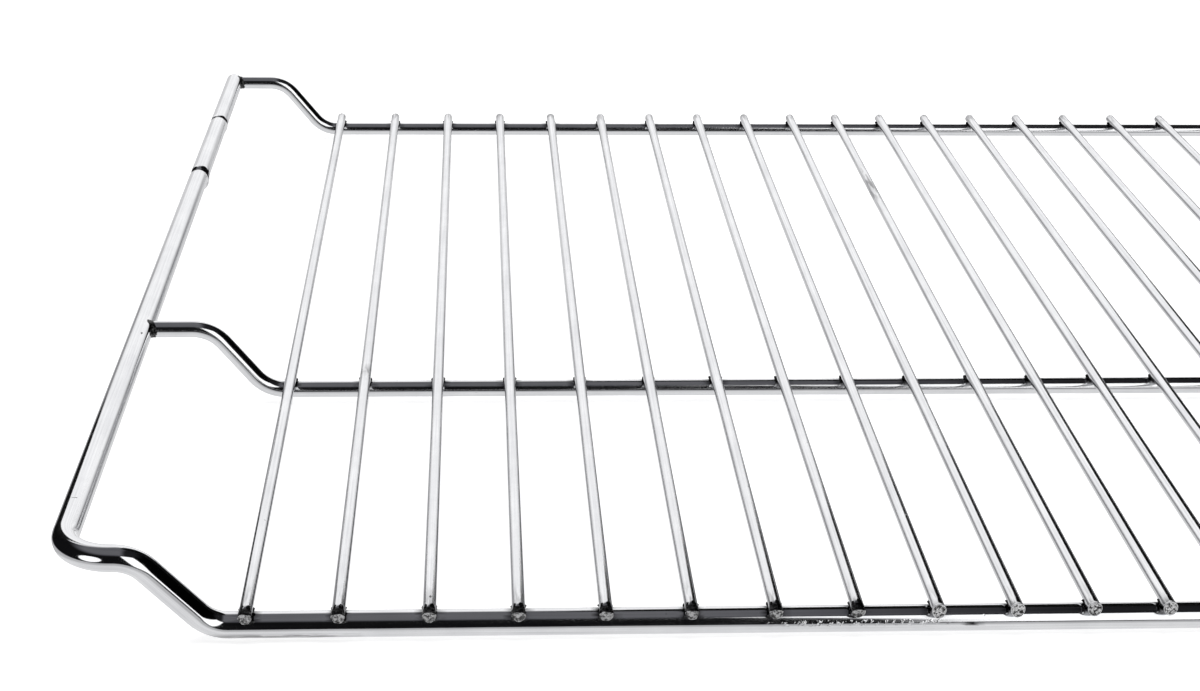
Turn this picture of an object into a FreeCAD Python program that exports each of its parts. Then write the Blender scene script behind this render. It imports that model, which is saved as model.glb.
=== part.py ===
import FreeCAD, Part
import math
import os

from FreeCAD import Vector

# Oven shelf rack: a wire grid of chromed steel, resistance welded.
# One thick frame wire is bent to a U: a low front rail, raised corners and two raised side rails that
# slide on the oven's guides. Two thinner crosswires are joggled up at their ends and butt welded to the
# side rails. Straight bars lie front to back on top of the front rail and both crosswires.
# Millimetres. +X runs to the right along the front rail, +Y from the front to the back, +Z up.
# The origin is on the surface that the rack rests on, under the middle of its outline.

# Outside sizes of the whole shelf
OVERALL_WIDTH = 476.0
OVERALL_DEPTH = 384.0
OVERALL_HEIGHT = 24.5

# Wire diameters
FRAME_DIA = 6.0
CROSS_DIA = 4.5
BAR_DIA = 3.0

# Bends, as centreline radii, and the slope of every joggle from the horizontal
CORNER_BEND = 11.7
FRAME_BEND = 8.7
CROSS_BEND = 10.6
JOGGLE_ANGLE = math.radians(51.0)

# Straight lengths before the joggles: after the corner bend, and from the side rail to a crosswire's bend
FRONT_FLAT = 0.2
CROSS_FLAT = 10.4

# The low front rail stands this far behind the raised corners
FRONT_LEAN = 3.5

# Stop notches pressed down into both side rails, each given by its distance from the rail's rear end,
# its depth and the slope of its sides
REAR_NOTCH_SETBACK = 56.0
REAR_NOTCH_DEPTH = 1.2
REAR_NOTCH_SLOPE = math.radians(35.0)
FRONT_NOTCH_SETBACK = 115.0
FRONT_NOTCH_DEPTH = 2.8
FRONT_NOTCH_SLOPE = math.radians(50.0)

# Broken edge at the side rails' cut ends
RAIL_END_BREAK = 1.0

# The middle crosswire's distance behind the front rail, between their axes
MIDDLE_FROM_FRONT = 128.2

# Bars: how many, how much wider their spacing grows from the middle to the sides, and how far they
# reach past the front rail and the rear crosswire
BAR_COUNT = 22
BAR_SPREAD = 0.098
FRONT_OVERHANG = 1.8
REAR_OVERHANG = 0.8

# Radii and axis places that follow from the sizes above
FRAME_R = FRAME_DIA / 2
CROSS_R = CROSS_DIA / 2
BAR_R = BAR_DIA / 2

SIDE_X = OVERALL_WIDTH / 2 - FRAME_R
CORNER_Y = -OVERALL_DEPTH / 2 + FRAME_R
FRONT_Y = CORNER_Y + FRONT_LEAN
BAR_FRONT_Y = FRONT_Y - FRAME_R - FRONT_OVERHANG
BAR_REAR_Y = OVERALL_DEPTH / 2
REAR_Y = BAR_REAR_Y - REAR_OVERHANG - CROSS_R
MIDDLE_Y = FRONT_Y + MIDDLE_FROM_FRONT
RAIL_END_Y = REAR_Y + CROSS_R

RIM_Z = OVERALL_HEIGHT - FRAME_R
FRONT_Z = FRAME_R
DECK_Z = FRAME_DIA
CROSS_Z = DECK_Z - CROSS_R
BAR_Z = DECK_Z + BAR_R

JOGGLE_TURN = math.tan(JOGGLE_ANGLE / 2)


def bent_path(corners):
    """Centreline through (point, bend radius) corners, straight between them. A bend of 0 is a sharp crease."""
    edges = []
    start = corners[0][0]
    for (before, _), (corner, bend), (after, _) in zip(corners, corners[1:], corners[2:]):
        back = (before - corner).normalize()
        ahead = (after - corner).normalize()
        half_turn = (math.pi - back.getAngle(ahead)) / 2
        tangent = bend * math.tan(half_turn)
        inward = (back + ahead).normalize()
        arc_start = corner + back * tangent
        arc_middle = corner + inward * bend * (1 / math.cos(half_turn) - 1)
        arc_end = corner + ahead * tangent
        edges.append(Part.LineSegment(start, arc_start).toShape())
        if bend > 0:
            edges.append(Part.Arc(arc_start, arc_middle, arc_end).toShape())
        start = arc_end
    edges.append(Part.LineSegment(start, corners[-1][0]).toShape())
    return Part.Wire(edges)


def bent_wire(corners, radius):
    """Round wire of this radius along the corners' centreline, mitred at sharp creases."""
    start = corners[0][0]
    section = Part.Circle(start, corners[1][0] - start, radius).toShape()
    mitred = 1
    return bent_path(corners).makePipeShell([Part.Wire(section)], True, False, mitred)


def with_mirror(left_corners):
    """The left half's corners and their mirror image, as one run from the left end to the right end."""
    right_corners = [(Vector(-point.x, point.y, point.z), bend) for point, bend in reversed(left_corners)]
    return left_corners + right_corners


def slope_end(flat_end, fall, bend):
    """Distance from the side rail's axis at which a joggle that begins at flat_end is level again."""
    return flat_end + 2 * bend * JOGGLE_TURN + fall / math.tan(JOGGLE_ANGLE)


def joggle(flat_end, high, low, bend):
    """Two corners that take a wire down from (y, z) high to (y, z) low on the left side.

    The first bend begins flat_end in from the side rail's axis.
    """
    fall = math.hypot(high[0] - low[0], high[1] - low[1])
    top_x = -SIDE_X + flat_end + bend * JOGGLE_TURN
    bottom_x = top_x + fall / math.tan(JOGGLE_ANGLE)
    return [(Vector(top_x, *high), bend), (Vector(bottom_x, *low), bend)]


def notch(setback, depth, slope):
    """Three corners of a stop notch in the left side rail, from its rear side to its front side."""
    centre_y = RAIL_END_Y - setback
    run = depth / math.tan(slope)
    return [
        (Vector(-SIDE_X, centre_y + run, RIM_Z), 0),
        (Vector(-SIDE_X, centre_y, RIM_Z - depth), 0),
        (Vector(-SIDE_X, centre_y - run, RIM_Z), 0),
    ]


def frame_wire():
    """The U-shaped frame: side rails with stop notches, raised corners and the joggled low front rail."""
    left = [(Vector(-SIDE_X, RAIL_END_Y, RIM_Z), 0)]
    left += notch(REAR_NOTCH_SETBACK, REAR_NOTCH_DEPTH, REAR_NOTCH_SLOPE)
    left += notch(FRONT_NOTCH_SETBACK, FRONT_NOTCH_DEPTH, FRONT_NOTCH_SLOPE)
    left += [(Vector(-SIDE_X, CORNER_Y, RIM_Z), CORNER_BEND)]
    left += joggle(CORNER_BEND + FRONT_FLAT, (CORNER_Y, RIM_Z), (FRONT_Y, FRONT_Z), FRAME_BEND)
    wire = bent_wire(with_mirror(left), FRAME_R)
    cut_ends = [face for face in wire.Faces if isinstance(face.Surface, Part.Plane)]
    return wire.makeChamfer(RAIL_END_BREAK, [face.Edges[0] for face in cut_ends])


def crosswire(y, frame):
    """A joggled crosswire whose ends are coped to the side rails that they are welded to."""
    left = [(Vector(-SIDE_X, y, RIM_Z), 0)]
    left += joggle(FRAME_R + CROSS_FLAT, (y, RIM_Z), (y, CROSS_Z), CROSS_BEND)
    return bent_wire(with_mirror(left), CROSS_R).cut(frame).Solids[0]


def bar_places():
    """X of every bar: the outermost stand where the rails are level, and the spacing grows towards them."""
    front_slope = slope_end(CORNER_BEND + FRONT_FLAT, math.hypot(FRONT_LEAN, RIM_Z - FRONT_Z), FRAME_BEND)
    cross_slope = slope_end(FRAME_R + CROSS_FLAT, RIM_Z - CROSS_Z, CROSS_BEND)
    outermost = SIDE_X - max(front_slope, cross_slope) - BAR_R
    places = []
    for number in range(BAR_COUNT):
        part_way = 2 * number / (BAR_COUNT - 1) - 1
        places.append(outermost * part_way * (1 + BAR_SPREAD * abs(part_way)) / (1 + BAR_SPREAD))
    return places


def bar(x):
    """A straight bar, cut square at both ends, that lies on the rails."""
    return Part.makeCylinder(BAR_R, BAR_REAR_Y - BAR_FRONT_Y, Vector(x, BAR_FRONT_Y, BAR_Z), Vector(0, 1, 0))


frame = frame_wire()
nodes = {
    "frame_wire": frame,
    "middle_crosswire": crosswire(MIDDLE_Y, frame),
    "rear_crosswire": crosswire(REAR_Y, frame),
}
for number, x in enumerate(bar_places(), start=1):
    nodes[f"bar_{number:02d}"] = bar(x)

os.makedirs("parts", exist_ok=True)
for name, shape in nodes.items():
    shape.exportStep(f"parts/{name}.step")
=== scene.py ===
import math
import random

import bpy
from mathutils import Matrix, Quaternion, Vector, noise


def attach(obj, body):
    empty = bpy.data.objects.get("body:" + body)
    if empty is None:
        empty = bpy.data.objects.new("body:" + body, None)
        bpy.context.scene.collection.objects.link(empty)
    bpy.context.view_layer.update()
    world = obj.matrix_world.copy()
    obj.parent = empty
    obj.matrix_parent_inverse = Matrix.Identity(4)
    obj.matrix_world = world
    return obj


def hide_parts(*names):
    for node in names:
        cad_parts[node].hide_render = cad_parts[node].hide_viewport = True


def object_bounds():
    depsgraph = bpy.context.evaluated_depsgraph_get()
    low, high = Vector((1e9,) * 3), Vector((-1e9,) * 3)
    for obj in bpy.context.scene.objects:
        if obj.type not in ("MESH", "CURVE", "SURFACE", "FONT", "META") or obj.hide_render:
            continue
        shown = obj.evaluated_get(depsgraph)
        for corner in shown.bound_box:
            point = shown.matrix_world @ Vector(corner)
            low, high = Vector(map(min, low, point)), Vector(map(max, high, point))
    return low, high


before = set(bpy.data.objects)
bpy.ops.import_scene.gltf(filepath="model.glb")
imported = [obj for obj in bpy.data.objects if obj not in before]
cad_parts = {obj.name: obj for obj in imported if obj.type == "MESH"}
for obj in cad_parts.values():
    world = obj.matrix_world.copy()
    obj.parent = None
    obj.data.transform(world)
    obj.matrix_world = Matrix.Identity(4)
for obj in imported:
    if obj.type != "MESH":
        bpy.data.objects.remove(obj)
cad_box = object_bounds()

# Frame wire
# One 6 mm steel rod, bent cold into a U: side rails with two stop notches pressed into each, raised corners
# that lean forward, and a low front rail. It is polished and chrome plated after welding.

# Millimetres, with the outside sizes taken from the solids
MM = 0.001
HALF_WIDTH, REAR_EDGE_Y, RIM_TOP_Z = [round(edge / MM, 1) for edge in cad_box[1]]
FRONT_EDGE_Y = round(cad_box[0][1] / MM, 1)
FRAME_R = 3.0
FRONT_LEAN = 3.5
REAR_OVERHANG = 0.8
SIDE_X = HALF_WIDTH - FRAME_R
CORNER_Y = FRONT_EDGE_Y + FRAME_R
FRONT_Y = CORNER_Y + FRONT_LEAN
RAIL_END_Y = REAR_EDGE_Y - REAR_OVERHANG
RIM_Z = RIM_TOP_Z - FRAME_R
FRONT_Z = FRAME_R
DECK_Z = 2 * FRAME_R

# Bends as centreline radii, the straight length between the corner and the joggle, and the joggles' slope
CORNER_BEND = 11.7
FRAME_BEND = 8.7
NOTCH_BEND = 1.9
FRONT_FLAT = 0.2
JOGGLE_ANGLE = math.radians(51.0)


def bent_run(corners, step=math.radians(4.0), longest=1.5):
    """Stations (point, direction) along a centreline given by (point, bend radius) corners."""
    stations = []

    def straight(start, end):
        count = max(1, math.ceil((end - start).length / longest))
        for k in range(count + 1):
            stations.append((start.lerp(end, k / count), (end - start).normalized()))

    start = corners[0][0]
    for (before, _), (corner, bend), (after, _) in zip(corners, corners[1:], corners[2:]):
        ahead_in = (corner - before).normalized()
        ahead_out = (after - corner).normalized()
        turn = ahead_in.angle(ahead_out)
        axis = ahead_in.cross(ahead_out).normalized()
        arc_start = corner - ahead_in * bend * math.tan(turn / 2)
        centre = arc_start + axis.cross(ahead_in) * bend
        straight(start, arc_start)
        count = max(2, math.ceil(turn / step))
        for k in range(1, count):
            swing = Quaternion(axis, turn * k / count)
            stations.append((centre + swing @ (arc_start - centre), swing @ ahead_in))
        start = corner + ahead_out * bend * math.tan(turn / 2)
    straight(start, corners[-1][0])
    return stations


def with_mirror(left):
    """The left half's corners followed by their mirror image."""
    return left + [(Vector((-point.x, point.y, point.z)), bend) for point, bend in reversed(left)]


def joggle(flat_end, high, low, bend):
    """The two corners of a joggle that falls from (y, z) high to (y, z) low on the left side."""
    top_x = -SIDE_X + flat_end + bend * math.tan(JOGGLE_ANGLE / 2)
    bottom_x = top_x + math.dist(high, low) / math.tan(JOGGLE_ANGLE)
    return [(Vector((top_x, *high)), bend), (Vector((bottom_x, *low)), bend)]


def metal_object(name, points, faces, materials, crease=None, places=()):
    """A smooth mesh, sharp at edges past the crease angle, with its places along a wire kept per point."""
    mesh = bpy.data.meshes.new(name)
    mesh.from_pydata([point * MM for point in points], [], faces)
    mesh.shade_smooth()
    if crease:
        mesh.set_sharp_from_angle(angle=math.radians(crease))
    if places:
        kept = mesh.attributes.new("wire_place", "FLOAT_VECTOR", "POINT")
        for item, place in zip(kept.data, places):
            item.vector = place
    for material in materials:
        mesh.materials.append(material)
    piece = bpy.data.objects.new(name, mesh)
    bpy.context.collection.objects.link(piece)
    return piece


def wire_object(name, stations, radii, sides, material):
    """A closed round wire through the stations."""
    points = []
    places = []
    faces = []
    along = 0.0
    side = stations[0][1].orthogonal().normalized()
    for k, ((point, ahead), radius) in enumerate(zip(stations, radii)):
        if k > 0:
            along += (point - stations[k - 1][0]).length
        side = (side - ahead * side.dot(ahead)).normalized()
        up = ahead.cross(side)
        for n in range(sides):
            angle = 2 * math.pi * n / sides
            points.append(point + (side * math.cos(angle) + up * math.sin(angle)) * radius)
            places.append((along, radius * math.cos(angle), radius * math.sin(angle)))
    for k in range(len(stations) - 1):
        for n in range(sides):
            m = (n + 1) % sides
            faces.append((k * sides + n, k * sides + m, (k + 1) * sides + m, (k + 1) * sides + n))
    last = (len(stations) - 1) * sides
    faces.append(tuple(range(sides - 1, -1, -1)))
    faces.append(tuple(range(last, last + sides)))
    return metal_object(name, points, faces, [material], crease=30.0, places=places)


def node(tree, kind, **values):
    """A new node with its settings, and with its inputs given by name in a dictionary called inputs."""
    made = tree.nodes.new(kind)
    inputs = values.pop("inputs", {})
    for label, value in values.items():
        setattr(made, label, value)
    for label, value in inputs.items():
        socket = made.inputs[label]
        if isinstance(value, bpy.types.NodeSocket):
            tree.links.new(value, socket)
        else:
            socket.default_value = value
    return made


def shader_group(name, inputs, outputs):
    """An empty shader node group with the named sockets."""
    group = bpy.data.node_groups.new(name, "ShaderNodeTree")
    for label, kind, start in inputs:
        group.interface.new_socket(label, in_out="INPUT", socket_type=kind).default_value = start
    for label, kind in outputs:
        group.interface.new_socket(label, in_out="OUTPUT", socket_type=kind)
    return group, group.nodes.new("NodeGroupInput"), group.nodes.new("NodeGroupOutput")


# Marks of drawing and plating: fine lines along the wire, slow waviness, pinhead pits and hazy patches. Where
# a piece is scuffed its plating is torn up in small lumps, and it is dark in streaks by its share of stains,
# scorch and painted shade.
plating_marks, given, result = shader_group(
    "plating marks",
    [("Place", "NodeSocketVector", (0, 0, 0)),
     ("Scuff", "NodeSocketFloat", 0.0),
     ("Stain and shade", "NodeSocketFloat", 0.0)],
    [("Height", "NodeSocketFloat"), ("Haze", "NodeSocketFloat"), ("Dark", "NodeSocketFloat")],
)
stretched = node(plating_marks, "ShaderNodeVectorMath", operation="MULTIPLY",
                 inputs={0: given.outputs["Place"], 1: (0.03, 2.2, 2.2)})
lines = node(plating_marks, "ShaderNodeTexNoise",
             inputs={"Vector": stretched.outputs[0], "Scale": 1.0, "Detail": 4.0})
slow = node(plating_marks, "ShaderNodeVectorMath", operation="MULTIPLY",
            inputs={0: given.outputs["Place"], 1: (0.05, 0.12, 0.12)})
waves = node(plating_marks, "ShaderNodeTexNoise",
             inputs={"Vector": slow.outputs[0], "Scale": 1.0, "Detail": 1.0})
pit_cells = node(plating_marks, "ShaderNodeTexVoronoi",
                 inputs={"Vector": given.outputs["Place"], "Scale": 0.22, "Randomness": 1.0})
pit_dots = node(plating_marks, "ShaderNodeMapRange", interpolation_type="SMOOTHSTEP",
                inputs={"Value": pit_cells.outputs["Distance"], "From Min": 0.02, "From Max": 0.075,
                        "To Min": -0.6, "To Max": 0.0})
fine = node(plating_marks, "ShaderNodeMath", operation="MULTIPLY_ADD",
            inputs={0: lines.outputs[0], 1: 0.08, 2: pit_dots.outputs[0]})
smooth = node(plating_marks, "ShaderNodeMath", operation="MULTIPLY_ADD",
              inputs={0: waves.outputs[0], 1: 1.2, 2: fine.outputs[0]})
lumps = node(plating_marks, "ShaderNodeTexNoise",
             inputs={"Vector": given.outputs["Place"], "Scale": 1.1, "Detail": 2.0, "Roughness": 0.6})
raised = node(plating_marks, "ShaderNodeMapRange", interpolation_type="SMOOTHSTEP",
              inputs={"Value": lumps.outputs[0], "From Min": 0.53, "From Max": 0.7,
                      "To Min": 0.0, "To Max": 8.0})
height = node(plating_marks, "ShaderNodeMath", operation="MULTIPLY_ADD",
              inputs={0: raised.outputs[0], 1: given.outputs["Scuff"], 2: smooth.outputs[0]})
patches = node(plating_marks, "ShaderNodeTexNoise",
               inputs={"Vector": given.outputs["Place"], "Scale": 0.06, "Detail": 5.0, "Roughness": 0.6})
blend = node(plating_marks, "ShaderNodeMix",
             inputs={"Factor": 0.55, "A": patches.outputs[0], "B": lines.outputs[0]})
haze = node(plating_marks, "ShaderNodeMapRange",
            inputs={"Value": blend.outputs["Result"], "From Min": 0.36, "From Max": 0.64})
dark_stretch = node(plating_marks, "ShaderNodeVectorMath", operation="MULTIPLY",
             inputs={0: given.outputs["Place"], 1: (0.12, 0.9, 0.9)})
streaks = node(plating_marks, "ShaderNodeTexNoise",
               inputs={"Vector": dark_stretch.outputs[0], "Scale": 1.0, "Detail": 3.0})
dark = node(plating_marks, "ShaderNodeMapRange", interpolation_type="SMOOTHSTEP",
            inputs={"Value": streaks.outputs[0], "From Min": 0.42, "From Max": 0.6})
streaky = node(plating_marks, "ShaderNodeMath", operation="MULTIPLY",
               inputs={0: dark.outputs[0], 1: given.outputs["Stain and shade"]})
solid = node(plating_marks, "ShaderNodeMath", operation="POWER", inputs={0: given.outputs["Stain and shade"], 1: 3.0})
darkening = node(plating_marks, "ShaderNodeMath", operation="MAXIMUM",
               inputs={0: streaky.outputs[0], 1: solid.outputs[0]})
plating_marks.links.new(height.outputs[0], result.inputs["Height"])
plating_marks.links.new(haze.outputs[0], result.inputs["Haze"])
plating_marks.links.new(darkening.outputs[0], result.inputs["Dark"])

CLEAR_CHROME = (0.72, 0.725, 0.74, 1.0)
HAZED_CHROME = (0.89, 0.895, 0.9, 1.0)
# The darkest colour, for stains, scorch and painted shade
STAIN_AND_SHADE = (0.03, 0.03, 0.032, 1.0)


def chrome_material(name, smoothest, dullest):
    """Chromed steel wire between two roughnesses, with its marks laid along the wire."""
    made = bpy.data.materials.new(name)
    made.use_nodes = True
    tree = made.node_tree
    shader = tree.nodes["Principled BSDF"]
    shader.inputs["Metallic"].default_value = 1.0
    place = node(tree, "ShaderNodeAttribute", attribute_name="wire_place")
    scuff = node(tree, "ShaderNodeAttribute", attribute_name="scuff")
    stain_and_shade = node(tree, "ShaderNodeAttribute", attribute_name="stain_and_shade")
    marks = node(tree, "ShaderNodeGroup", node_tree=plating_marks, inputs={
        "Place": place.outputs["Vector"], "Scuff": scuff.outputs["Fac"], "Stain and shade": stain_and_shade.outputs["Fac"]})
    tint = node(tree, "ShaderNodeMix", data_type="RGBA",
                inputs={"Factor": marks.outputs["Haze"], "A": CLEAR_CHROME, "B": HAZED_CHROME})
    # Darkened where the piece carries stains, scorch and painted shade
    darkened = node(tree, "ShaderNodeMix", data_type="RGBA",
                inputs={"Factor": marks.outputs["Dark"], "A": tint.outputs["Result"], "B": STAIN_AND_SHADE})
    gloss = node(tree, "ShaderNodeMapRange",
                 inputs={"Value": marks.outputs["Haze"], "To Min": smoothest, "To Max": dullest})
    bump = node(tree, "ShaderNodeBump",
                inputs={"Height": marks.outputs["Height"], "Strength": 0.5, "Distance": 0.00005})
    tree.links.new(darkened.outputs["Result"], shader.inputs["Base Color"])
    tree.links.new(gloss.outputs[0], shader.inputs["Roughness"])
    tree.links.new(bump.outputs["Normal"], shader.inputs["Normal"])
    return made


chrome = chrome_material("chromed_wire", smoothest=0.05, dullest=0.12)


def keep_share(piece, label, share_at):
    """A value from 0 to 1 kept at every point of a piece, found from the point's place."""
    kept = piece.data.attributes.new(label, "FLOAT", "POINT")
    for vertex, item in zip(piece.data.vertices, kept.data):
        item.value = share_at(vertex.co / MM)


# Places of the bars across the rack, round whose welds the rails carry painted shade. The spacing grows
# towards the sides
BAR_R = 1.5
OUTERMOST_X = 195.61
BAR_SPREAD = 0.098
BAR_COUNT = 22
bar_places = []
for number in range(BAR_COUNT):
    part_way = 2 * number / (BAR_COUNT - 1) - 1
    bar_places.append(OUTERMOST_X * part_way * (1 + BAR_SPREAD * abs(part_way)) / (1 + BAR_SPREAD))


def held(value):
    """A value held between 0 and 1."""
    return max(0.0, min(1.0, value))


def fade(value, middle, half, peak=1.0):
    """The peak at the middle, less 1 for each half width away from it, down to 0."""
    return max(0.0, peak - abs(value - middle) / half)


def joint_shade(point):
    """Painted shade round the nearest bar's weld, on the upper side of a rail where the bar sits on it."""
    strength = 1.2
    reach = 1.2
    lowest = 4.2
    gap = min(abs(point.x - place) for place in bar_places) - BAR_R
    return held(strength - gap / reach) * held(point.z - lowest)


def torn_patch(point):
    """The front rail's torn plating: a strip along its front, left of the middle."""
    if point.y >= FRONT_Y - 1.0:
        return 0.0
    return fade(point.x, middle=-61.0, half=21.0) ** 0.5 * fade(point.z, middle=3.2, half=0.7)


def frame_darkening(point):
    """Painted shade round the bars' welds, a darker patch under the front rail's left end and one dark
    scratch on its front.
    """
    if point.y > FRONT_Y + FRAME_R or point.z > DECK_Z:
        return 0.0
    # Painted shade on the rail's top round each bar's weld
    if point.y > FRONT_Y:
        return joint_shade(point)
    # Darker on the underside of the front rail's left end
    dark_stretch = fade(point.x, middle=-190.0, half=20.0) ** 0.5 * fade(point.z, middle=1.2, half=1.2)
    scratch = fade(point.x, middle=-35.5, half=1.6, peak=1.5) * fade(point.z, middle=3.1, half=0.5, peak=1.5)
    return max(joint_shade(point), dark_stretch, min(1.0, scratch))


def notch(setback, depth, slope):
    """Three corners of a stop notch in the left side rail, by its distance from the rail's rear end."""
    centre_y = RAIL_END_Y - setback
    run = depth / math.tan(math.radians(slope))
    return [
        (Vector((-SIDE_X, centre_y + run, RIM_Z)), NOTCH_BEND),
        (Vector((-SIDE_X, centre_y, RIM_Z - depth)), NOTCH_BEND),
        (Vector((-SIDE_X, centre_y - run, RIM_Z)), NOTCH_BEND),
    ]


left_half = [(Vector((-SIDE_X, RAIL_END_Y, RIM_Z)), 0)]
left_half += notch(setback=56.0, depth=1.2, slope=35.0)
left_half += notch(setback=115.0, depth=2.8, slope=50.0)
left_half += [(Vector((-SIDE_X, CORNER_Y, RIM_Z)), CORNER_BEND)]
left_half += joggle(CORNER_BEND + FRONT_FLAT, (CORNER_Y, RIM_Z), (FRONT_Y, FRONT_Z), FRAME_BEND)
run = bent_run(with_mirror(left_half))

# The side rails' cut ends are rounded over, by the distance from the end and the radius there
rail_end = [(0.0, 2.0), (0.15, 2.3), (0.5, 2.72), (1.0, FRAME_R)]
stations = [(run[0][0] + run[0][1] * step, run[0][1]) for step, _ in rail_end]
stations += run[1:-1]
stations += [(run[-1][0] - run[-1][1] * step, run[-1][1]) for step, _ in reversed(rail_end)]
radii = [radius for _, radius in rail_end]
radii += [FRAME_R] * (len(run) - 2)
radii += [radius for _, radius in reversed(rail_end)]
piece = wire_object("frame_rod", stations, radii, sides=40, material=chrome)
keep_share(piece, "scuff", torn_patch)
keep_share(piece, "stain_and_shade", frame_darkening)
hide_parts("frame_wire")
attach(piece, "root")

# Crosswires
# Two 4.5 mm rods of the same steel, joggled up at both ends so that their middles lie level with the front
# rail's top, and butt welded to the inner sides of the side rails before plating.

CROSS_R = 2.25
MIDDLE_FROM_FRONT = 128.2
MIDDLE_Y = FRONT_Y + MIDDLE_FROM_FRONT
REAR_Y = RAIL_END_Y - CROSS_R
CROSS_FLAT = 10.4
CROSS_BEND = 10.6

# How far from the side rail's axis a crosswire's end stops, inside the rail
CROSS_END = 1.5

dull_chrome = chrome_material("chromed_crosswire", smoothest=0.08, dullest=0.15)
for name, y in (("middle", MIDDLE_Y), ("rear", REAR_Y)):
    left_half = [(Vector((-SIDE_X + CROSS_END, y, RIM_Z)), 0)]
    left_half += joggle(FRAME_R + CROSS_FLAT, (y, RIM_Z), (y, DECK_Z - CROSS_R), CROSS_BEND)
    run = bent_run(with_mirror(left_half))
    piece = wire_object(f"{name}_rod", run, [CROSS_R] * len(run), sides=32, material=dull_chrome)
    # Painted shade on the crosswire's top round each bar's weld
    keep_share(piece, "stain_and_shade", joint_shade)
    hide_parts(f"{name}_crosswire")
    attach(piece, "root")

# Bars
# Twenty-two straight 3 mm wires, sheared to length, laid front to back on the front rail and both crosswires
# and welded there. The shears leave a rough face, and the left bars' front ends are pinched down at the top.

FRONT_OVERHANG = 1.8
BAR_FRONT_Y = FRONT_Y - FRAME_R - FRONT_OVERHANG
BAR_REAR_Y = REAR_EDGE_Y
PINCHED_BARS = 8

# How far in from the ends the pinch, the burr, the melted skin, the unevenness and the broken edges reach
PINCH_LENGTH = 2.6
BURR_LENGTH = 1.0
MELT_LENGTH = 1.7
UNEVEN_LENGTH = 2.4
FRONT_BREAK = 0.16
REAR_BREAK = 0.3

# Rough metal at shears and welds: coarse lumps with fine grain on them, darkened in the hollows between the
# lumps as painted shade
torn_metal, given, result = shader_group(
    "torn metal",
    [("Grain", "NodeSocketFloat", 1.0)],
    [("Height", "NodeSocketFloat"), ("Dark", "NodeSocketFloat")],
)
where = node(torn_metal, "ShaderNodeTexCoord")
lumps = node(torn_metal, "ShaderNodeTexNoise",
             inputs={"Vector": where.outputs["Object"], "Scale": 1500.0, "Detail": 3.0, "Roughness": 0.7})
grain = node(torn_metal, "ShaderNodeTexNoise",
             inputs={"Vector": where.outputs["Object"], "Scale": 6000.0, "Detail": 2.0})
mixed = node(torn_metal, "ShaderNodeMath", operation="MULTIPLY_ADD",
             inputs={0: grain.outputs[0], 1: given.outputs["Grain"], 2: lumps.outputs[0]})
# Painted shade: dark where the lumps sink into hollows
dark = node(torn_metal, "ShaderNodeMapRange", interpolation_type="SMOOTHSTEP",
            inputs={"Value": lumps.outputs[0], "From Min": 0.42, "From Max": 0.56,
                    "To Min": 1.0, "To Max": 0.0})
torn_metal.links.new(mixed.outputs[0], result.inputs["Height"])
torn_metal.links.new(dark.outputs[0], result.inputs["Dark"])


def rough_material(name, light, shade, gloss, grain):
    """Plated metal that is torn or melted: light where it stands up, with painted shade darkening its
    hollows.
    """
    made = bpy.data.materials.new(name)
    made.use_nodes = True
    tree = made.node_tree
    shader = tree.nodes["Principled BSDF"]
    shader.inputs["Metallic"].default_value = 1.0
    shader.inputs["Roughness"].default_value = gloss
    marks = node(tree, "ShaderNodeGroup", node_tree=torn_metal, inputs={"Grain": grain})
    # Light on the raised lumps, with painted shade in the hollows
    tint = node(tree, "ShaderNodeMix", data_type="RGBA", inputs={"Factor": marks.outputs["Dark"],
                "A": (light, light, light, 1.0), "B": (shade, shade, shade, 1.0)})
    bump = node(tree, "ShaderNodeBump",
                inputs={"Height": marks.outputs["Height"], "Strength": 0.8, "Distance": 0.0003})
    tree.links.new(tint.outputs["Result"], shader.inputs["Base Color"])
    tree.links.new(bump.outputs["Normal"], shader.inputs["Normal"])
    return made


torn = rough_material("sheared_end", light=0.9, shade=0.04, gloss=0.2, grain=0.3)
crushed = rough_material("crushed_end", light=0.72, shade=0.12, gloss=0.34, grain=0.3)
weld_metal = rough_material("chromed_weld", light=0.08, shade=0.01, gloss=0.14, grain=0.1)

# A bar's finishes, in the order of its materials
PLATED, SHEARED, MELTED = range(3)

# Rings of a sheared face from its rim inward: share of the radius, depth, and depth of the dents
FACE_RINGS = [(0.9, 0.0, 0.0), (0.82, 0.14, 0.05), (0.62, 0.12, 0.3), (0.4, 0.12, 0.3), (0.2, 0.12, 0.3)]


def bar_stations():
    """Places along a bar: close together at both ends and over the middle crosswire."""
    front = [0.0, 0.06, 0.16, 0.3, 0.5, 0.75, 1.0, 1.3, 1.6, 1.9, 2.2, 2.6, 3.0]
    long_start = BAR_FRONT_Y + front[-1]
    long_end = BAR_REAR_Y - 1.0
    steps = 40
    runs = [BAR_FRONT_Y + back for back in front]
    runs += [long_start + k * (long_end - long_start) / steps for k in range(1, steps + 1)]
    runs += [BAR_REAR_Y - tail for tail in (0.6, 0.3, 0.12, 0.0)]
    runs += [MIDDLE_Y + step for step in (-6.0, -3.0, 0.0, 3.0, 6.0)]
    return sorted(runs)


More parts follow.
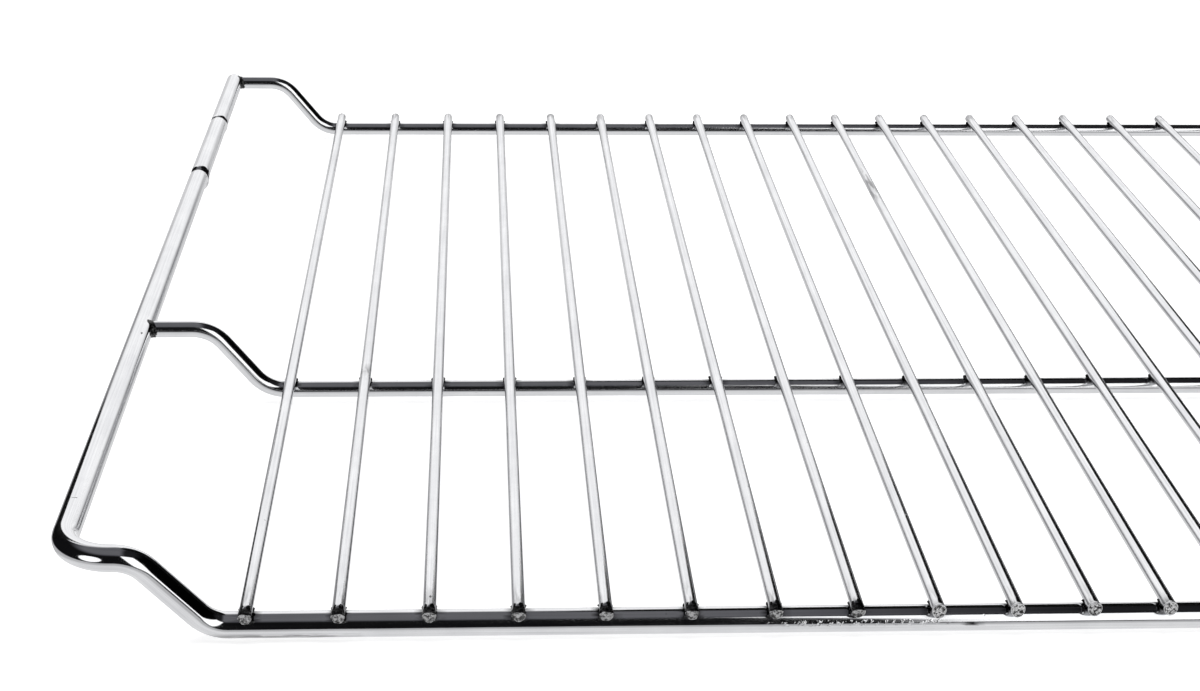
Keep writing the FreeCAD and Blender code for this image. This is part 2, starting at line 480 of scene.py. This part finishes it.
def bar_object(name, x, pinch, burr, pinched, seed):
    """A bar whose front end is pinched down at the top and drawn down by a burr below."""
    sides = 32
    runs = bar_stations()
    flare = 0.08 if pinched else 0.13
    points = []
    places = []
    faces = []
    finish = []
    # Each bar has its own stretch of the noise and of the plating's marks
    shift = Vector((seed * 7.3, 0.0, 0.0))
    mark_shift = seed * 41.0
    for y in runs:
        back = y - BAR_FRONT_Y
        tail = BAR_REAR_Y - y
        # The upper half, the lower half and the whole edge as shares of the bar's radius
        top = 1.0 - pinch / BAR_R * fade(back, 0.0, PINCH_LENGTH) ** 1.4
        low = 1.0 + burr / BAR_R * fade(back, 0.0, BURR_LENGTH) ** 2
        edge = 1.0 - 0.06 * fade(back, 0.0, FRONT_BREAK) ** 2 - 0.1 * fade(tail, 0.0, REAR_BREAK) ** 2
        edge += flare * fade(back, 0.0, BURR_LENGTH) ** 2
        uneven = 0.16 * pinch * fade(back, 0.0, UNEVEN_LENGTH)
        for n in range(sides):
            angle = 2 * math.pi * n / sides
            across = math.cos(angle) * edge
            upward = math.sin(angle) * edge
            upward *= top if upward > 0 else low
            point = Vector((x + across * BAR_R, y, DECK_Z + BAR_R + upward * BAR_R))
            if uneven > 0:
                point += noise.noise_vector(point * 1.6 + shift) * uneven
            points.append(point)
            places.append((y + mark_shift, BAR_R * math.cos(angle), BAR_R * math.sin(angle)))
    for k in range(len(runs) - 1):
        melted = pinched and runs[k + 1] - BAR_FRONT_Y < MELT_LENGTH
        for n in range(sides):
            m = (n + 1) % sides
            faces.append((k * sides + n, (k + 1) * sides + n, (k + 1) * sides + m, k * sides + m))
            finish.append(MELTED if melted else PLATED)

    def close_end(ring, facing):
        """Rough sheared face: a narrow rim, bright on a square end, round a torn hollow."""
        rim = [points[ring + n] for n in range(sides)]
        middle = sum(rim, Vector()) / sides
        last = [ring + n for n in range(sides)]
        for share, depth, dents in FACE_RINGS:
            bright = share == FACE_RINGS[0][0] and not pinched
            these = []
            for n in range(sides):
                point = middle.lerp(rim[n], share)
                dent = depth + abs(noise.noise(point * 2.2 + shift)) * dents
                point.y -= facing * dent
                these.append(len(points))
                points.append(point)
                places.append((point.y, point.x - x, point.z - DECK_Z - BAR_R))
            for n in range(sides):
                m = (n + 1) % sides
                quad = (last[n], these[n], these[m], last[m])
                faces.append(quad if facing > 0 else quad[::-1])
                finish.append(PLATED if bright else SHEARED)
            last = these
        faces.append(tuple(last) if facing < 0 else tuple(reversed(last)))
        finish.append(SHEARED)

    close_end(0, -1)
    close_end((len(runs) - 1) * sides, 1)
    materials = [chrome, crushed if pinched else torn, weld_metal]
    piece = metal_object(name, points, faces, materials, crease=50.0, places=places)
    for polygon, number in zip(piece.data.polygons, finish):
        polygon.material_index = number
    return piece


# Smudges and painted shade by the bar's number, the place of their middle, their half length and their
# darkness:
# the first is painted shade where the second bar lies on the middle crosswire, the second a smudge
smudges_and_shade = [(2, MIDDLE_Y - 0.5, 6.0, 0.75), (11, 106.0, 26.0, 0.72)]


def bar_darkening(point):
    """Single smudges and painted shade at a joint, and darkening that fades along a bar from its end welds:
    scorch and painted shade where it lies on the rails.
    """
    back = point.y - BAR_FRONT_Y
    # Darker towards the rear end, where the bar lies on the rear crosswire: scorch and painted shade
    dark_share = fade(point.y, middle=BAR_REAR_Y, half=9.0, peak=0.8)
    for number, middle, half, darkness in smudges_and_shade:
        if abs(point.x - bar_places[number - 1]) < 2 * BAR_R:
            dark_share = max(dark_share, darkness * fade(point.y, middle, half))
    clean_rim = 0.4
    if back < clean_rim:
        return dark_share
    # Darker towards the front end, where the bar lies on the front rail: scorch and painted shade
    if point.x > bar_places[PINCHED_BARS - 1] + BAR_R:
        return max(dark_share, fade(back, middle=0.0, half=5.0, peak=0.85))
    return max(dark_share, min(1.0, fade(back, middle=0.0, half=4.5, peak=1.1)))


# Fixed starts, so that every run gives the same unevenness
noise.seed_set(11)
shear = random.Random(11)
for number, x in enumerate(bar_places, start=1):
    pinched = number <= PINCHED_BARS
    pinch = shear.uniform(0.75, 1.0) if pinched else shear.uniform(0.05, 0.15)
    burr = shear.uniform(0.1, 0.4) if pinched else shear.uniform(0.3, 0.5)
    # The fourth to the eighth bar are pinched deepest
    if 4 <= number <= PINCHED_BARS:
        pinch += 0.25
    piece = bar_object(f"bar_rod_{number:02d}", x, pinch, burr, pinched, number)
    keep_share(piece, "stain_and_shade", bar_darkening)
    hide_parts(f"bar_{number:02d}")
    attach(piece, "root")

# Welds
# Resistance welds where every bar crosses a rail: a little metal is squeezed out on both sides of the bar
# as a rough collar with small upturned ears. The crosswires' butt welded ends flare out to the side rails.

UP = Vector((0.0, 0.0, 1.0))


def ring_object(name, rings, material):
    """Closed rings of metal, each a list of sections, and each section a loop of points."""
    points = []
    faces = []
    for ring in rings:
        first = len(points)
        count = len(ring)
        loop = len(ring[0])
        for section in ring:
            points += section
        for k in range(count):
            here = first + k * loop
            ahead = first + (k + 1) % count * loop
            for n in range(loop):
                m = (n + 1) % loop
                faces.append((here + n, ahead + n, ahead + m, here + m))
    piece = metal_object(name, points, faces, [material])
    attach(piece, "root")


def weld_collar(x, y, rail_radius, bead, ear):
    """A collar where a bar lies on a rail, thinner in front and raised to ears at its sides."""
    gap = 0.5
    ear_lean = 0.3
    ear_thinning = 0.08
    lumpiness = 0.26
    half_x = math.sqrt(BAR_R ** 2 - (BAR_R - gap) ** 2)
    half_y = math.sqrt(rail_radius ** 2 - (rail_radius - gap) ** 2)
    turns = 28
    corners = 10
    sections = []
    for k in range(turns):
        turn = 2 * math.pi * k / turns
        out = Vector((math.cos(turn), math.sin(turn), 0.0))
        bar_low = DECK_Z + BAR_R - math.sqrt(BAR_R ** 2 - (half_x * out.x) ** 2)
        rail_top = DECK_Z - rail_radius + math.sqrt(rail_radius ** 2 - (half_y * out.y) ** 2)
        middle = Vector((x + half_x * out.x, y + half_y * out.y, (bar_low + rail_top) / 2))
        side_share = abs(out.x) ** 6
        thick = bead * (1.0 if out.y > -0.4 else 0.5) - ear_thinning * side_share
        middle += (out * ear_lean + UP * ear) * side_share
        section = []
        for n in range(corners):
            angle = 2 * math.pi * n / corners
            point = middle + (out * math.cos(angle) + UP * math.sin(angle)) * thick
            point += noise.noise_vector(point * 2.1) * lumpiness * (0.4 + side_share)
            section.append(point)
        sections.append(section)
    return sections


for name, y, rail_radius, bead, ear in (
    ("front_welds", FRONT_Y - 0.3, FRAME_R, 0.4, 0.75),
    ("middle_welds", MIDDLE_Y, CROSS_R, 0.5, 0.3),
    ("rear_welds", REAR_Y, CROSS_R, 0.5, 0.3),
):
    ring_object(name, [weld_collar(x, y, rail_radius, bead, ear) for x in bar_places], weld_metal)


def butt_collar(side, y):
    """A hollow flare where a crosswire's end meets a side rail, from the rail's skin to the crosswire's."""
    flare = 0.4
    neck = 1.3
    sink = 0.6
    skin_top = 2.6
    lumpiness = 0.1
    turns = 32
    # The flare's outline by its distances from the crosswire's skin and the rail's skin, closed inside
    outline = []
    for step in range(7):
        bow = step / 6 * math.pi / 2
        outline.append((flare * (1.0 - math.sin(bow)), neck * (1.0 - math.cos(bow))))
    outline += [(-0.3, neck), (-0.5, -sink), (0.3, -sink)]
    sections = []
    for k in range(turns):
        turn = 2 * math.pi * k / turns
        out = Vector((0.0, math.cos(turn), math.sin(turn)))
        section = []
        for offset, length in outline:
            across = CROSS_R + offset
            reach = math.sqrt(FRAME_R ** 2 - min(skin_top, across * abs(out.z)) ** 2)
            point = Vector((side * (SIDE_X - reach - length), y, RIM_Z)) + out * across
            section.append(point + noise.noise_vector(point * 1.3) * lumpiness)
        sections.append(section if side < 0 else section[::-1])
    return sections


butt_welds = [butt_collar(side, y) for side in (-1, 1) for y in (MIDDLE_Y, REAR_Y)]
ring_object("side_welds", butt_welds, weld_metal)

# Nicks
# Small knocks in the plating: a pit on the third bar, and a pit and a short scratch on the left side rail.
# Each has a low rim of metal pushed up round it.


def nick(axis, radius, angle, along, around, thick):
    """The rim of a nick in a wire that runs front to back, by its angle from the top and its half sizes."""
    turns = 16
    corners = 8
    sections = []
    for k in range(turns):
        turn = 2 * math.pi * k / turns
        place = math.radians(angle) + around / radius * math.cos(turn)
        outward = Vector((math.sin(place), 0.0, math.cos(place)))
        skin = Vector((math.cos(place), 0.0, -math.sin(place)))
        sideways = skin * math.cos(turn) + Vector((0.0, math.sin(turn), 0.0))
        middle = axis + outward * radius + Vector((0.0, along * math.sin(turn), 0.0))
        section = []
        for n in range(corners):
            lean = 2 * math.pi * n / corners
            point = middle + (outward * math.sin(lean) + sideways * math.cos(lean)) * thick
            point.z = min(point.z, RIM_TOP_Z)
            section.append(point)
        sections.append(section)
    return sections


bar_pit = Vector((bar_places[2], -184.5, DECK_Z + BAR_R))
rail_pit = Vector((-SIDE_X, -66.75, RIM_Z))
rail_scratch = Vector((-SIDE_X, -165.5, RIM_Z))
ring_object("nicks", [
    nick(bar_pit, BAR_R, angle=7.0, along=0.3, around=0.16, thick=0.09),
    nick(rail_pit, FRAME_R, angle=26.0, along=0.5, around=0.16, thick=0.09),
    nick(rail_scratch, FRAME_R, angle=2.0, along=0.04, around=0.6, thick=0.05),
], weld_metal)

# Studio
# A white table that shows only the shelf's soft shadow, lit by one large lamp overhead. The room is dark
# with a white backdrop behind, a soft box on each side in front and the white table below. Metres.

TABLE_HALF = 3.0
mesh = bpy.data.meshes.new("table")
corners = [(x * TABLE_HALF, y * TABLE_HALF, 0) for x, y in ((-1, -1), (1, -1), (1, 1), (-1, 1))]
mesh.from_pydata(corners, [], [(0, 1, 2, 3)])
table = bpy.data.objects.new("table", mesh)
bpy.context.collection.objects.link(table)
table.visible_glossy = False
paper = bpy.data.materials.new("white_paper")
paper.use_nodes = True
tree = paper.node_tree
shader = tree.nodes["Principled BSDF"]
shader.inputs["Base Color"].default_value = (0.8, 0.8, 0.8, 1.0)
shader.inputs["Roughness"].default_value = 1.0
shader.inputs["Specular IOR Level"].default_value = 0.0
shader.inputs["Emission Color"].default_value = (1.0, 1.0, 1.0, 1.0)
seen = node(tree, "ShaderNodeLightPath")
white = node(tree, "ShaderNodeMath", operation="MULTIPLY", inputs={0: seen.outputs["Is Camera Ray"], 1: 0.68})
tree.links.new(white.outputs[0], shader.inputs["Emission Strength"])
mesh.materials.append(paper)

lamp = bpy.data.lights.new("overhead", "AREA")
lamp.shape = "DISK"
lamp.size = 1.6
lamp.energy = 16.0
lamp_object = bpy.data.objects.new("overhead", lamp)
lamp_object.location = (0.0, 0.1, 1.4)
lamp_object.visible_glossy = False
bpy.context.collection.objects.link(lamp_object)

# Two black cards behind the shelf, out of the picture, that the wires mirror as their dark edges
left_card = [(-0.59, 0.64, -0.1), (-1.4, 0.64, -0.1), (-1.4, 0.64, 0.9), (-0.59, 0.64, 0.9)]
right_card = [(0.9, 2.0, -0.2), (1.0, 2.0, 0.4), (0.42, 2.0, 1.3), (0.05, 2.0, 2.2), (0.05, 2.0, 5.0),
              (3.5, 2.0, 5.0), (3.5, 2.0, -0.2)]
mesh = bpy.data.meshes.new("black_cards")
mesh.from_pydata(left_card + right_card, [], [(0, 1, 2, 3), (4, 5, 6, 7, 8, 9, 10)])
cards = bpy.data.objects.new("black_cards", mesh)
bpy.context.collection.objects.link(cards)
cards.visible_camera = False
cards.visible_diffuse = False
cards.visible_shadow = False
black = bpy.data.materials.new("black_card")
black.use_nodes = True
shader = black.node_tree.nodes["Principled BSDF"]
shader.inputs["Base Color"].default_value = (0.01, 0.01, 0.01, 1.0)
shader.inputs["Roughness"].default_value = 1.0
shader.inputs["Specular IOR Level"].default_value = 0.0
mesh.materials.append(black)

world = bpy.data.worlds.new("studio")
bpy.context.scene.world = world
world.use_nodes = True
tree = world.node_tree
tree.nodes.clear()

# One soft-edged panel in the room, by its sides and its lower and upper edge in degrees
panel, given, result = shader_group(
    "panel",
    [(label, "NodeSocketFloat", 0.0) for label in
     ("Bearing", "Elevation", "Left", "Right", "Low", "High", "Side soft", "End soft")],
    [("Mask", "NodeSocketFloat")],
)
mask = None
for value, edge, soft, sign in (
    ("Bearing", "Left", "Side soft", 1.0),
    ("Bearing", "Right", "Side soft", -1.0),
    ("Elevation", "Low", "End soft", 1.0),
    ("Elevation", "High", "End soft", -1.0),
):
    past = node(panel, "ShaderNodeMath", operation="SUBTRACT",
                inputs={0: given.outputs[value], 1: given.outputs[edge]})
    share = node(panel, "ShaderNodeMath", operation="DIVIDE",
                 inputs={0: past.outputs[0], 1: given.outputs[soft]})
    inside = node(panel, "ShaderNodeMapRange", interpolation_type="SMOOTHSTEP",
                  inputs={"Value": share.outputs[0], "From Min": -sign, "From Max": sign})
    if mask is None:
        mask = inside
    else:
        mask = node(panel, "ShaderNodeMath", operation="MULTIPLY",
                    inputs={0: mask.outputs[0], 1: inside.outputs[0]})
panel.links.new(mask.outputs[0], result.inputs["Mask"])

# Bearings in degrees towards +X, from straight in front of the shelf and from straight behind it
towards = node(tree, "ShaderNodeTexCoord")
axes = node(tree, "ShaderNodeSeparateXYZ", inputs={"Vector": towards.outputs["Generated"]})
front_way = node(tree, "ShaderNodeMath", operation="MULTIPLY", inputs={0: axes.outputs["Y"], 1: -1.0})
turn_front = node(tree, "ShaderNodeMath", operation="ARCTAN2",
                  inputs={0: axes.outputs["X"], 1: front_way.outputs[0]})
turn_back = node(tree, "ShaderNodeMath", operation="ARCTAN2",
                 inputs={0: axes.outputs["X"], 1: axes.outputs["Y"]})
rise = node(tree, "ShaderNodeMath", operation="ARCSINE", inputs={0: axes.outputs["Z"]})
bearing_front = node(tree, "ShaderNodeMath", operation="DEGREES", inputs={0: turn_front.outputs[0]})
bearing_back = node(tree, "ShaderNodeMath", operation="DEGREES", inputs={0: turn_back.outputs[0]})
elevation = node(tree, "ShaderNodeMath", operation="DEGREES", inputs={0: rise.outputs[0]})

# The right box's left edge leans out towards its top
climb = node(tree, "ShaderNodeMath", operation="MULTIPLY_ADD", use_clamp=True,
             inputs={0: elevation.outputs[0], 1: 0.02, 2: 0.1})
bowed = node(tree, "ShaderNodeMath", operation="POWER", inputs={0: climb.outputs[0], 1: 3.0})
slant = node(tree, "ShaderNodeMath", operation="MULTIPLY_ADD",
             inputs={0: bowed.outputs[0], 1: -2.3, 2: 11.9})

ceiling = node(tree, "ShaderNodeMapRange", interpolation_type="SMOOTHSTEP", inputs={
    "Value": elevation.outputs[0], "From Min": 40.0, "From Max": 60.0, "To Min": 0.006, "To Max": 0.135})
dimmed = node(tree, "ShaderNodeMapRange", interpolation_type="SMOOTHSTEP", inputs={
    "Value": axes.outputs["X"], "From Min": 0.08, "From Max": 0.28, "To Min": 1.0, "To Max": 0.1})
light = node(tree, "ShaderNodeMath", operation="MULTIPLY",
             inputs={0: ceiling.outputs[0], 1: dimmed.outputs[0]})
for label, bearing, left, right, low, high, side_soft, end_soft, strength in (
    ("backdrop", bearing_back, -40.0, 40.0, 3.0, 50.0, 3.0, 11.0, 1.04),
    ("paper sweep", bearing_back, -11.0, 11.0, -16.0, 20.0, 4.0, 4.0, 0.95),
    ("paper sides", bearing_back, -22.0, 20.0, -20.0, 20.0, 2.5, 4.0, 0.7),
    ("grey wall", bearing_back, -36.0, 21.0, -30.0, 25.0, 3.0, 5.0, 0.28),
    ("table behind", bearing_back, -36.0, 24.0, -100.0, -14.0, 3.0, 6.0, 0.76),
    ("right box", bearing_front, slant.outputs[0], 45.0, -10.5, 47.0, 0.8, 1.0, 1.35),
    ("table edge", bearing_front, -400.0, 400.0, -100.0, -17.0, 2.0, 2.0, 0.5),
    ("table", bearing_front, -400.0, 400.0, -100.0, -28.0, 2.0, 11.0, 0.8),
):
    made = node(tree, "ShaderNodeGroup", label=label, node_tree=panel, inputs={
        "Bearing": bearing.outputs[0], "Elevation": elevation.outputs[0], "Left": left, "Right": right,
        "Low": low, "High": high, "Side soft": side_soft, "End soft": end_soft})
    lit = node(tree, "ShaderNodeMath", operation="MULTIPLY", inputs={0: made.outputs["Mask"], 1: strength})
    light = node(tree, "ShaderNodeMath", operation="MAXIMUM", inputs={0: lit.outputs[0], 1: light.outputs[0]})

# The round box at the front left, by the bearing and elevation of its middle and its radius in degrees
BOX_BEARING = -43.0
BOX_ELEVATION = 8.0
BOX_RADIUS = 20.0
aside = node(tree, "ShaderNodeMath", operation="MULTIPLY_ADD",
             inputs={0: bearing_front.outputs[0], 1: 1 / BOX_RADIUS, 2: -BOX_BEARING / BOX_RADIUS})
above = node(tree, "ShaderNodeMath", operation="MULTIPLY_ADD",
             inputs={0: elevation.outputs[0], 1: 1 / BOX_RADIUS, 2: -BOX_ELEVATION / BOX_RADIUS})
offset = node(tree, "ShaderNodeCombineXYZ", inputs={"X": aside.outputs[0], "Y": above.outputs[0]})
away = node(tree, "ShaderNodeVectorMath", operation="LENGTH", inputs={0: offset.outputs[0]})
round_box = node(tree, "ShaderNodeMapRange", interpolation_type="SMOOTHSTEP", inputs={
    "Value": away.outputs["Value"], "From Min": 0.95, "From Max": 1.05, "To Min": 1.3, "To Max": 0.0})
light = node(tree, "ShaderNodeMath", operation="MAXIMUM",
             inputs={0: round_box.outputs[0], 1: light.outputs[0]})

# The room's dark side is a little blue
share = node(tree, "ShaderNodeMath", operation="MULTIPLY", inputs={0: light.outputs[0], 1: 0.12})
extra = node(tree, "ShaderNodeMath", operation="MINIMUM", inputs={0: share.outputs[0], 1: 0.011})
blue = node(tree, "ShaderNodeMath", operation="ADD", inputs={0: light.outputs[0], 1: extra.outputs[0]})
colour = node(tree, "ShaderNodeCombineColor", inputs={
    "Red": light.outputs[0], "Green": light.outputs[0], "Blue": blue.outputs[0]})
room = node(tree, "ShaderNodeBackground", inputs={"Color": colour.outputs[0]})

# The camera itself sees plain white
backing = node(tree, "ShaderNodeBackground", inputs={"Color": (1.0, 1.0, 1.0, 1.0), "Strength": 1.0})
seen = node(tree, "ShaderNodeLightPath")
shown = node(tree, "ShaderNodeMixShader",
             inputs={0: seen.outputs["Is Camera Ray"], 1: room.outputs[0], 2: backing.outputs[0]})
node(tree, "ShaderNodeOutputWorld", inputs={"Surface": shown.outputs[0]})

# Camera
# A long lens from the front left, a little above the shelf.

camera = bpy.data.cameras.new("camera")
camera.sensor_fit = "HORIZONTAL"
camera.sensor_width = 36.0
camera.lens = 66.045
camera.clip_start = 0.01
camera_object = bpy.data.objects.new("camera", camera)
camera_object.location = (-0.1450, -0.6127, 0.2444)
camera_object.rotation_euler = [math.radians(angle) for angle in (67.703, -1.026, -3.029)]
bpy.context.collection.objects.link(camera_object)
bpy.context.scene.camera = camera_object
bpy.context.scene.view_settings.view_transform = "Standard"
